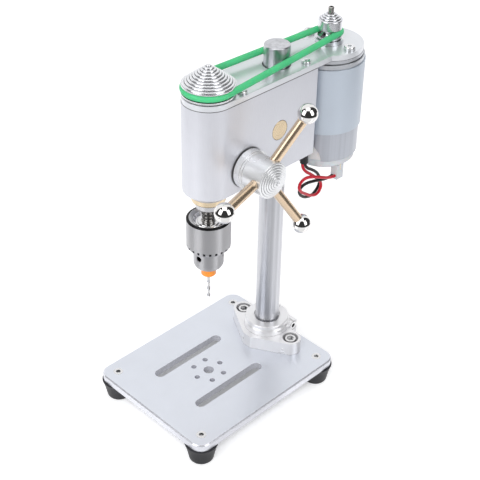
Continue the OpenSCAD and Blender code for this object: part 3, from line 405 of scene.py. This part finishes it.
METALS = {
    "anodised_plate": dict(
        color=(0.75, 0.78, 0.85), roughness=0.34, metallic=0.62, edge=0.3, edge_light=1.15,
        grain=5200, grain_depth=0.006, masks=[(cut_faces, (0.80, 0.81, 0.87), 0.24)], gap=0.5,
    ),
    "anodised_top": dict(
        color=(0.82, 0.84, 0.88), roughness=0.3, metallic=0.62, edge_light=1.2, grain=5200,
        grain_depth=0.003, masks=[SEAM_MASK],
    ),
    "seat": dict(
        color=(0.87, 0.87, 0.89), roughness=0.3, metallic=0.52, edge=0.3, edge_light=1.15,
        grain=4200, grain_depth=0.006, gap=0.9,
    ),
    "head_aluminium": dict(
        color=(0.735, 0.745, 0.80), roughness=0.38, metallic=0.55, edge=0.4, grain=2600,
        stretch=(1, 1, 0.06), masks=[SEAM_MASK, (hub_ring, (0.05, 0.05, 0.05), 0.5)],
    ),
    "column_steel": dict(
        color=(0.72, 0.73, 0.77), roughness=0.3, edge=0.3, edge_light=1.1, grain_depth=0.001,
        anisotropic=0.8, rough_variation=0.02, streaks=0.6, gap=0.4,
    ),
    "spindle_aluminium": dict(
        color=(0.86, 0.87, 0.90), roughness=0.22, metallic=0.85, edge=0.1, edge_light=1.15,
        turned=SPINDLE_AXIS, pitch=0.3, gap=0.8,
    ),
    "motor_aluminium": dict(
        color=(0.82, 0.83, 0.87), roughness=0.22, metallic=0.9, edge=0.1, edge_light=1.15,
        turned=MOTOR_AXIS, pitch=0.3, gap=0.8,
    ),
    "hub_aluminium": dict(
        color=(0.90, 0.91, 0.93), roughness=0.26, metallic=0.6, edge=0.1, turned=PINION_AXIS,
        pitch=0.3, line_depth=0.03, gap=0.8,
    ),
    "collar_aluminium": dict(
        color=(0.66, 0.68, 0.72), roughness=0.36, metallic=0.85, edge=0.3, edge_light=1.15,
        turned=MOTOR_AXIS, pitch=0.4,
    ),
    "quill_steel": dict(
        color=(0.62, 0.62, 0.64), roughness=0.24, edge=0.2, edge_light=1.1,
        turned=SPINDLE_AXIS, line_depth=0.008,
    ),
    "chuck_steel": dict(
        color=(0.61, 0.61, 0.63), roughness=0.42, edge=0.2, edge_light=1.3,
        turned=SPINDLE_AXIS, pitch=0.22, line_depth=0.01, anisotropic=0.9,
        # The key holes are painted near black as shade
        masks=[(chuck_cup, (0.74, 0.74, 0.75), 0.12), (key_hole_painted_shade, (0.02, 0.02, 0.02), 0.4)],
        gap=0.9,
    ),
    "sleeve_steel": dict(
        color=(0.61, 0.61, 0.63), roughness=0.42, edge=0.2, edge_light=1.25,
        turned=SPINDLE_AXIS, pitch=0.22, line_depth=0.01, anisotropic=0.9,
        masks=[
            (black_top_ring, (0.02, 0.02, 0.022), 0.35),
            # The key notches are painted dark as shade
            (key_notch_painted_shade, (0.06, 0.06, 0.065), 0.4),
        ],
        gap=1.6, gap_open=0.8,
    ),
    "dark_steel": dict(
        color=(0.14, 0.14, 0.145), roughness=0.34, edge=0.2, edge_light=1.8, grain=3000,
    ),
    "nose_steel": dict(
        color=(0.48, 0.47, 0.46), roughness=0.16, edge=0.2, edge_light=1.4,
        turned=SPINDLE_AXIS, pitch=1.2, line_depth=0.04, gap=0.5,
    ),
    "zinc_steel": dict(
        color=(0.84, 0.85, 0.87), roughness=0.2, metallic=0.9, edge=0.15, edge_light=1.2,
        grain=4000, grain_depth=0.003, gap=0.6,
    ),
    "bolt_steel": dict(
        color=(0.80, 0.80, 0.81), roughness=0.2, metallic=0.95, edge=0.15, edge_light=1.2,
        grain=4000, grain_depth=0.003, gap=2.2, gap_open=0.85,
    ),
    "bearing_steel": dict(
        color=(0.60, 0.60, 0.61), roughness=0.18, edge=0.15, edge_light=1.2, grain=4000,
        grain_depth=0.002,
    ),
    "shaft_steel": dict(
        color=(0.50, 0.49, 0.48), roughness=0.2, edge=0.15, edge_light=1.3, turned=MOTOR_AXIS,
        pitch=0.3, line_depth=0.01,
    ),
    "bit_steel": dict(
        color=(0.72, 0.72, 0.73), roughness=0.17, edge=0.05, edge_light=1.1, grain_depth=0.001,
    ),
    "brass": dict(
        color=(0.80, 0.66, 0.46), roughness=0.26, edge=0.2, turned=SPINDLE_AXIS, pitch=0.3,
        line_depth=0.015,
    ),
    "plug_brass": dict(
        color=(0.74, 0.60, 0.41), roughness=0.26, metallic=0.9, turned=PLUG_AXIS, pitch=0.55,
        line_depth=0.06,
    ),
    "lever_brass": dict(
        color=(0.82, 0.64, 0.46), roughness=0.2, metallic=0.85, edge=0.2, edge_light=1.1,
        grain=2500, grain_depth=0.003,
    ),
    "chrome_ball": dict(
        color=(0.86, 0.85, 0.84), roughness=0.03, edge=0.1, edge_light=1.0,
        grain_depth=0.0002, rough_variation=0.01,
    ),
    "motor_paint": dict(
        color=(0.54, 0.60, 0.68), roughness=0.36, metallic=0.4, edge=0.3, edge_light=1.15,
        grain=3000, grain_depth=0.01,
    ),
    "motor_steel": dict(
        color=(0.56, 0.585, 0.645), roughness=0.32, metallic=0.7, edge_light=1.15,
        turned=MOTOR_AXIS, pitch=0.35, anisotropic=0.4, variation=0.05, streaks=0.35,
    ),
    "ferrite": dict(
        color=(0.05, 0.05, 0.052), roughness=0.6, metallic=0.2, edge=0.3, edge_light=1.4,
        grain=1500, grain_depth=0.02,
    ),
    "armature": dict(
        color=(0.30, 0.22, 0.18), roughness=0.45, metallic=0.8, edge=0.2, edge_light=1.3,
        grain=1500, grain_depth=0.03,
    ),
    "copper": dict(
        color=(0.72, 0.38, 0.24), roughness=0.25, edge=0.15, edge_light=1.2,
        turned=MOTOR_AXIS, pitch=0.4,
    ),
    "carbon": dict(
        color=(0.04, 0.04, 0.04), roughness=0.5, metallic=0.1, edge=0.2, edge_light=1.5,
        grain=2000, grain_depth=0.02,
    ),
}
PLASTICS = {
    "rubber": dict(
        color=(0.010, 0.010, 0.014), roughness=0.45, edge=0.5, grain=1600, grain_depth=0.03,
        variation=0.15, edge_light=1.8,
    ),
    "black_plastic": dict(color=(0.022, 0.022, 0.024), roughness=0.35, grain_depth=0.01),
    "white_plastic": dict(
        color=(0.64, 0.67, 0.70), roughness=0.38, edge=0.4, grain=1800, grain_depth=0.012,
        variation=0.02, soft=0.15,
    ),
    "beige_plastic": dict(color=(0.80, 0.79, 0.78), roughness=0.45, grain=1500, soft=0.1),
    "orange_plastic": dict(
        color=(0.95, 0.305, 0.032), roughness=0.36, grain=1500, grain_depth=0.012,
        variation=0.04, soft=0.2,
    ),
    "belt_green": dict(
        color=(0.07, 0.57, 0.235), roughness=0.5, edge=0.0001, grain=1400, grain_depth=0.05,
        variation=0.06, soft=0.25,
    ),
    "red_insulation": dict(
        color=(0.60, 0.005, 0.024), roughness=0.34, edge=0.0001, grain=1500, grain_depth=0.008,
    ),
    "black_insulation": dict(
        color=(0.006, 0.006, 0.007), roughness=0.45, edge=0.0001, grain=1500,
        grain_depth=0.008, variation=0.1,
    ),
}
MATERIALS = {name: metal(name, **look) for name, look in METALS.items()}
MATERIALS |= {name: plastic(name, **look) for name, look in PLASTICS.items()}

NODE_MATERIALS = {
    "anodised_plate": ["base_plate"],
    "anodised_top": ["top_plate"],
    "seat": ["column_seat"],
    "head_aluminium": ["head_body", "spring_cover"],
    "column_steel": ["column"],
    "spindle_aluminium": ["spindle_pulley"],
    "motor_aluminium": ["motor_pulley", "motor_boss_ring"],
    "hub_aluminium": ["feed_hub"],
    "collar_aluminium": ["motor_collar"],
    "quill_steel": ["quill"],
    "chuck_steel": ["chuck_body"],
    "sleeve_steel": ["chuck_sleeve"],
    "dark_steel": ["chuck_jaw_1", "chuck_jaw_2", "chuck_jaw_3", "pulley_set_screw", "clamp_bolt"],
    "nose_steel": ["spindle"],
    "zinc_steel": ["plate_screws", "motor_screws", "return_spring"],
    "bolt_steel": ["foot_screws", "seat_bolts", "seat_clamp_screw"],
    "bearing_steel": ["pulley_bearings", "motor_bearings", "spindle_bearings", "pinion_shaft"],
    "shaft_steel": ["motor_shaft"],
    "brass": ["quill_bush", "pinion_bush", "motor_terminals"],
    "plug_brass": ["clamp_plug"],
    "lever_brass": ["feed_levers"],
    "chrome_ball": ["lever_balls"],
    "motor_paint": ["motor_sleeve"],
    "motor_steel": ["motor_can"],
    "ferrite": ["motor_magnets"],
    "armature": ["motor_armature"],
    "copper": ["motor_commutator"],
    "carbon": ["motor_brushes"],
    "rubber": ["wire_sleeve", "feet"],
    "black_plastic": ["dc_jack"],
    "white_plastic": ["motor_end_cap", "wire_connector"],
    "beige_plastic": ["motor_brush_holder"],
    "orange_plastic": ["bit_ring"],
    "belt_green": ["drive_belt"],
    "red_insulation": ["red_wire"],
    "black_insulation": ["black_wire"],
    "bit_steel": ["drill_bit"],
}


def paint_nodes():
    for finish, names in NODE_MATERIALS.items():
        for name in names:
            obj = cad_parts[name]
            if not obj.material_slots:
                obj.data.materials.append(MATERIALS[finish])
            for material_slot in obj.material_slots:
                material_slot.material = MATERIALS[finish]


paint_nodes()


# Wires: the same routes as the solids have, from the column axis at the head's underside
RED_ROUTE = [
    (12.2, 14.4, -4), (12.3, 14.5, -9.5), (12.7, 17, -13.7), (12.8, 22, -18),
    (12.6, 27, -22.5), (12.4, 31, -26.5), (12.6, 33, -30.2), (13, 31.8, -33.6),
    (13.6, 28.3, -35.1), (14.2, 22.5, -33.5), (14.8, 15.5, -29), (15.2, 10.4, -24.6),
    (15.7, 8.3, -20.2), (16.3, 9.5, -16.8), (17, 13, -15.2), (17.8, 17.2, -15.8),
    (18.2, 21.5, -17.4), (18.4, 27, -20), (18.2, 32, -22.4), (18, 36.5, -24),
    (18, 39.85, -24.5),
]
BLACK_ROUTE = [
    (12.2, 16.6, -4), (12, 16.9, -8.5), (11.3, 20, -13), (10.6, 25, -16.7),
    (9.8, 30, -20.7), (9.4, 33.6, -24.9), (9.4, 35.2, -29), (9.8, 34.2, -32.6),
    (10.2, 31, -35.4), (10.8, 26.5, -36.6), (11.2, 21.3, -35.6), (11.8, 16.4, -32.8),
    (12.3, 13, -29.2), (12.9, 12, -25.9), (13.5, 13.6, -23.2), (14.2, 17.2, -22.1),
    (14.9, 22, -22.4), (15.6, 28, -23.6), (16, 34, -24.8), (16, 39.85, -25),
]
WIRE_R = 1.0


def smooth_length(points):
    """Length of the Catmull-Rom curve through the points."""
    steps = 16
    ends = [points[0] * 2 - points[1], *points, points[-1] * 2 - points[-2]]
    total, last = 0.0, points[0]
    for a, b, c, d in zip(ends, ends[1:], ends[2:], ends[3:]):
        for i in range(1, steps + 1):
            t = i / steps
            p = 0.5 * (
                2 * b
                + (c - a) * t
                + (2 * a - 5 * b + 4 * c - d) * t * t
                + (3 * b - a - 3 * c + d) * t**3
            )
            total += (p - last).length
            last = p
    return total


def wire(name, cad_node, route, material):
    points = [mm(x, COLUMN_Y + y, HEAD_Z + z) for x, y, z in route]
    curve = bpy.data.curves.new(name, "CURVE")
    curve.dimensions = "3D"
    curve.bevel_depth = WIRE_R * MM
    curve.bevel_resolution = 5
    curve.resolution_u = 8
    curve.use_fill_caps = True
    spline = curve.splines.new("BEZIER")
    spline.bezier_points.add(len(points) - 1)
    for knot, p in zip(spline.bezier_points, points):
        knot.co = p
        knot.handle_left_type = knot.handle_right_type = "AUTO"
    obj = bpy.data.objects.new(name, curve)
    obj.data.materials.append(MATERIALS[material])
    bpy.context.scene.collection.objects.link(obj)
    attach(obj, "head")
    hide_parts(cad_node)
    smooth_length(points)


wire("wire_red", "red_wire", RED_ROUTE, "red_insulation")
wire("wire_black", "black_wire", BLACK_ROUTE, "black_insulation")


# Meshes
def mesh_piece(name, vertices, faces, material, body, replaced, angle):
    """A piece that is smooth but for edges sharper than the angle, in degrees."""
    data = bpy.data.meshes.new(name)
    data.from_pydata(vertices, [], faces)
    data.validate()
    obj = bpy.data.objects.new(name, data)
    bpy.context.scene.collection.objects.link(obj)
    solid = bmesh.new()
    solid.from_mesh(data)
    bmesh.ops.recalc_face_normals(solid, faces=solid.faces)
    for face in solid.faces:
        face.smooth = True
    for edge in solid.edges:
        if len(edge.link_faces) == 2 and edge.calc_face_angle() > math.radians(angle):
            edge.smooth = False
    solid.to_mesh(data)
    solid.free()
    data.materials.append(MATERIALS[material])
    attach(obj, body)
    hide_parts(*replaced)


def ring_angles(sides):
    """The angles at which a ring has its vertices."""
    return [2 * math.pi * j / sides for j in range(sides)]


def ring_faces(first, rings, sides, closed=False):
    """Faces between rings of vertices numbered from first."""
    faces = []
    for i in range(rings if closed else rings - 1):
        a = first + i * sides
        b = first + ((i + 1) % rings) * sides
        for j in range(sides):
            k = (j + 1) % sides
            faces.append((a + j, a + k, b + k, b + j))
    return faces


def drill_bit():
    """Twist bit: a point, two flutes, a bare neck, a cone and the shank.
    Heights are in millimetres from the tip."""
    sides, lead, cut_r, shank_r = 48, 11.4, 1.05, 1.6
    tip_r, point_h = 0.02, cut_r * 0.6
    flute_rings, flute_step = 45, 0.3
    flute_top, fade = 13.5, 1.6
    land, flute_depth, flute_shape = 0.42, 0.58, 0.8
    neck, shoulder = 14.6, 18.6
    held = 16
    top = CHUCK_Z + held - BIT_Z
    heights = [0.0, 0.12, 0.3, point_h]
    heights += [point_h + flute_step * i for i in range(1, flute_rings + 1)]
    heights += [neck, shoulder, shoulder + 0.1, top - 0.2, top]
    vertices = []
    for h in heights:
        radius = cut_r * min(1, (h + tip_r) / point_h) if h < point_h else cut_r
        radius += (shank_r - cut_r) * min(1, max(0, (h - neck) / (shoulder - neck)))
        cut = min(1, max(0, (flute_top - h) / fade))
        for t in ring_angles(sides):
            phase = t - 2 * math.pi * h / lead
            dip = max(0, abs(math.sin(phase)) - land) / (1 - land)
            r = radius * (1 - flute_depth * cut * math.sin(dip * math.pi / 2) ** flute_shape)
            vertices.append(mm(r * math.cos(t), SPINDLE_Y + r * math.sin(t), BIT_Z + h))
    rings = len(heights)
    faces = ring_faces(0, rings, sides)
    faces.append(tuple(range(sides)))
    faces.append(tuple(range((rings - 1) * sides, rings * sides)))
    mesh_piece(
        "twist_bit", vertices, faces, "bit_steel", "spindle", ["drill_bit"], 50
    )


drill_bit()


def belt():
    """Round belt: an arc on each pulley and two straight runs between them."""
    sides, r = 24, 2.0
    big, small = 14.4, 6.7
    run_steps = 40
    lean = math.degrees(math.asin((big - small) / (MOTOR_Y - SPINDLE_Y)))
    # First angle and sweep in degrees, steps, radius and place of each arc
    arcs = (
        (lean, 180 + 2 * lean, 64, big, SPINDLE_Y, SPINDLE_GROOVE_Z),
        (180 - lean, 180 - 2 * lean, 48, small, MOTOR_Y, MOTOR_GROOVE_Z),
    )
    stations = [
        (start - sweep * i / steps, (pitch, y, z))
        for start, sweep, steps, pitch, y, z in arcs
        for i in range(steps + 1)
    ]
    rings = []
    for (a, here), (_, there) in zip(stations, stations[1:] + stations[:1]):
        rings.append((a, *here))
        if here != there:
            for k in range(1, run_steps):
                t = k / run_steps
                rings.append((a, *(p + (q - p) * t for p, q in zip(here, there))))
    vertices = []
    for a, pitch, y, z in rings:
        c, s = math.cos(math.radians(a)), math.sin(math.radians(a))
        for t in ring_angles(sides):
            out = pitch + r * math.cos(t)
            vertices.append(mm(out * c, y + out * s, z + r * math.sin(t)))
    faces = ring_faces(0, len(rings), sides, closed=True)
    mesh_piece(
        "round_belt", vertices, faces, "belt_green", "head", ["drive_belt"], 180
    )


belt()


def rubber_feet():
    """Turned rubber feet with a rounded foot, a soft lip under the plate and a screw recess."""
    sides, sole_r, toe_r = 64, 6.6, 1.45
    # Radius and height, from the screw recess over the sole and the side to the plate
    profile = [(1.6, 2.0), (4.3, 2.0), (4.5, 1.8), (4.5, 0.3), (4.8, 0.0), (sole_r, 0.0)]
    for a in (math.radians(degrees) for degrees in range(15, 91, 15)):
        profile.append((sole_r + toe_r * math.sin(a), toe_r - toe_r * math.cos(a)))
    profile += [(8.3, 2.6), (8.72, 4.8), (9.2, 7.2), (9.74, 9.6), (10.3, 11.8), (10.62, 12.7)]
    profile += [(10.84, 13.1), (10.84, 13.55), (10.6, 13.8), (9.9, 13.9), (1.6, 13.9)]
    vertices, faces = [], []
    for x in (-FOOT_X, FOOT_X):
        for y in FOOT_YS:
            faces += ring_faces(len(vertices), len(profile), sides, closed=True)
            for r, z in profile:
                for t in ring_angles(sides):
                    vertices.append(mm(x + r * math.cos(t), y + r * math.sin(t), z))
    mesh_piece("rubber_feet", vertices, faces, "rubber", "base", ["feet"], 40)


rubber_feet()


# Studio, in metres and degrees
CAMERA_SIDE = CAMERA_AZIMUTH - math.pi / 2
DARK = (0.04, 0.04, 0.04)
WHITE = (1, 1, 1)
WORLD_LIGHT = 0.45
FLOOR_SIZE = 12
FLOOR_WHITE = (0.82, 0.82, 0.83)
FLOOR_SHADE = (0.52, 0.52, 0.53)
SHADE_DEPTH = 0.23
ROOM_MIDDLE = Vector((0, 0, 0.12))
ROOM_R = 1.7
WINDOW_DISTANCE = 1.35
WINDOW_LIGHT = 2.2
TOP_LIGHT = 1.8

# Azimuth of each lobe where the floor is left bright in reflections, a painted pool of window
# light, and how far it reaches on either side
FLOOR_LOBES = ((-99, 24, 10), (9, 16, 5))


def rectangle(name, width, depth):
    """A flat sheet that faces up, round the origin."""
    w, h = width / 2, depth / 2
    data = bpy.data.meshes.new(name)
    data.from_pydata([(-w, -h, 0), (w, -h, 0), (w, h, 0), (-w, h, 0)], [], [(0, 1, 2, 3)])
    return bpy.data.objects.new(name, data)


def seen_rays(tree, rays):
    """1 on rays from the camera and in reflections, 0 on those that light the press."""
    mirrored = math_node(tree, "MAXIMUM", rays["Is Camera Ray"], rays["Is Glossy Ray"])
    return math_node(tree, "MAXIMUM", mirrored, rays["Is Transmission Ray"])


def under_plate(tree, parts):
    """1 on the floor under the table plate, which is in its shade."""
    across = math_node(tree, "ABSOLUTE", parts[0])
    along = math_node(tree, "ABSOLUTE", math_node(tree, "SUBTRACT", parts[1], BASE_MID_Y * MM))
    return times(tree, ramp(tree, across, 36, 44, 1, 0), ramp(tree, along, 49, 57, 1, 0))


def toward(tree, parts, distance, angle):
    """Cosine of the angle on the floor between a point and a direction in radians."""
    x = times(tree, parts[0], math.cos(angle))
    y = times(tree, parts[1], math.sin(angle))
    return math_node(tree, "DIVIDE", math_node(tree, "ADD", x, y), distance)


def dark_floor(tree, parts, distance):
    """1 where the floor is painted dark in reflections. The white floor ends a little way in
    front of the press, and two lobes below the two windows are left bright, a painted pool of
    their light."""
    front = toward(tree, parts, distance, CAMERA_SIDE)
    ahead = spread(tree, front, 0, 1, -0.45, -0.2)
    far = times(tree, ahead, spread(tree, distance, 0, 1, 0.42, 0.60))
    dim = spread(tree, front, 0, 0.28, 0.0, 0.5)
    for azimuth, outer, inner in FLOOR_LOBES:
        near = toward(tree, parts, distance, math.radians(azimuth))
        start, end = math.cos(math.radians(outer)), math.cos(math.radians(inner))
        dim = times(tree, dim, spread(tree, near, 1, 0, start, end))
    return math_node(tree, "MAXIMUM", far, dim)


def make_floor():
    floor = rectangle("floor", FLOOR_SIZE, FLOOR_SIZE)
    bpy.context.scene.collection.objects.link(floor)
    material, tree, bsdf = new_material("studio_floor")
    floor.data.materials.append(material)
    bsdf.inputs["Roughness"].default_value = 0.9
    rays = node(tree, "LightPath").outputs
    point = object_point(tree)
    parts = coordinates(tree, point)
    distance = node(tree, "VectorMath", {"operation": "LENGTH"}, (point,)).outputs["Value"]
    under = under_plate(tree, parts)
    tree.links.new(over(tree, under, FLOOR_WHITE, FLOOR_SHADE), bsdf.inputs["Base Color"])
    # It glows where it is seen, so that it is white round the press and up to the horizon
    glow = spread(tree, distance, 0.42, 1.0, 1.2, 2.6)
    glow = math_node(tree, "SUBTRACT", glow, times(tree, under, SHADE_DEPTH))
    lit = times(tree, seen_rays(tree, rays), glow)
    both = node(tree, "AddShader", args=(bsdf.outputs[0], emission(tree, WHITE, lit)))
    # Painted shade in reflections of the floor, with painted pools of window light
    dark = times(tree, dark_floor(tree, parts, distance), rays["Is Glossy Ray"])
    mixed = node(tree, "MixShader", args=(dark, both.outputs[0], emission(tree, DARK, 1.0)))
    tree.links.new(mixed.outputs[0], tree.nodes["Material Output"].inputs[0])


def make_world():
    world = bpy.data.worlds.new("studio")
    bpy.context.scene.world = world
    world.use_nodes = True
    tree = world.node_tree
    background = tree.nodes["Background"]
    seen = seen_rays(tree, node(tree, "LightPath").outputs)
    background.inputs["Color"].default_value = (*WHITE, 1)
    strength = spread(tree, seen, WORLD_LIGHT, 1.0, 0, 1)
    tree.links.new(strength, background.inputs["Strength"])


def aim(obj, direction, axis):
    """Turns an object so that its axis, Z or -Z, points along the direction."""
    obj.rotation_mode = "QUATERNION"
    obj.rotation_quaternion = direction.to_track_quat(axis, "Y")


def area_light(name, place, target, size, energy):
    """A lamp that isn't seen in reflections, with its energy in watts."""
    data = bpy.data.lights.new(name, "AREA")
    data.shape = "RECTANGLE"
    data.size, data.size_y = size
    data.energy = energy
    lamp = bpy.data.objects.new(name, data)
    lamp.location = place
    aim(lamp, Vector(target) - Vector(place), "-Z")
    lamp.visible_glossy = False
    bpy.context.scene.collection.objects.link(lamp)


def reflected_only(card, color):
    """Makes a card glow with the color and show only in reflections."""
    bpy.context.scene.collection.objects.link(card)
    material, tree, _ = new_material(card.name)
    tree.links.new(emission(tree, color, 1.0), tree.nodes["Material Output"].inputs[0])
    card.data.materials.append(material)
    card.visible_camera = False
    card.visible_diffuse = False
    card.visible_shadow = False
    card.visible_transmission = False


def skyward(azimuth, elevation):
    """The direction with an azimuth and elevation in radians."""
    flat = math.cos(elevation)
    return Vector((flat * math.cos(azimuth), flat * math.sin(azimuth), math.sin(elevation)))


def window(name, azimuth, elevation, size, value):
    """A flat card that faces the press and glows with the value."""
    away = skyward(math.radians(azimuth), math.radians(elevation))
    card = rectangle(name, *size)
    card.location = away * WINDOW_DISTANCE + ROOM_MIDDLE
    aim(card, away, "Z")
    reflected_only(card, (value, value, value))


def dark_room():
    """The unlit half of the room, behind and beside the camera."""
    left, right, bottom, top = -99, 128, -4, 72
    columns, rows = 42, 16
    vertices = []
    for j in range(rows + 1):
        elevation = math.radians(bottom + (top - bottom) * j / rows)
        for i in range(columns + 1):
            azimuth = CAMERA_SIDE + math.radians(left + (right - left) * i / columns)
            vertices.append(skyward(azimuth, elevation) * ROOM_R + ROOM_MIDDLE)
    faces = []
    for j in range(rows):
        for i in range(columns):
            a = j * (columns + 1) + i
            b = a + columns + 1
            faces.append((a, a + 1, b + 1, b))
    data = bpy.data.meshes.new("dark_room")
    data.from_pydata(vertices, [], faces)
    reflected_only(bpy.data.objects.new("dark_room", data), DARK)


make_floor()
make_world()
area_light("key", (0.85, -1.4, 1.2), (0, 0, 0.1), (1.2, 1.2), 27)
area_light("fill", (-1.1, -1.2, 1.1), (0, 0, 0.1), (1.4, 1.4), 5)
area_light("rear", (0.2, 1.5, 1.2), (0, 0, 0.15), (1.4, 0.9), 8)
dark_room()
window("window_left", -97, 30, (0.85, 1.2), WINDOW_LIGHT)
window("window_right", 7, 30, (0.75, 1.2), WINDOW_LIGHT)
window("window_top", -45, 77, (1.05, 0.85), TOP_LIGHT)

bpy.context.scene.view_settings.view_transform = "Standard"
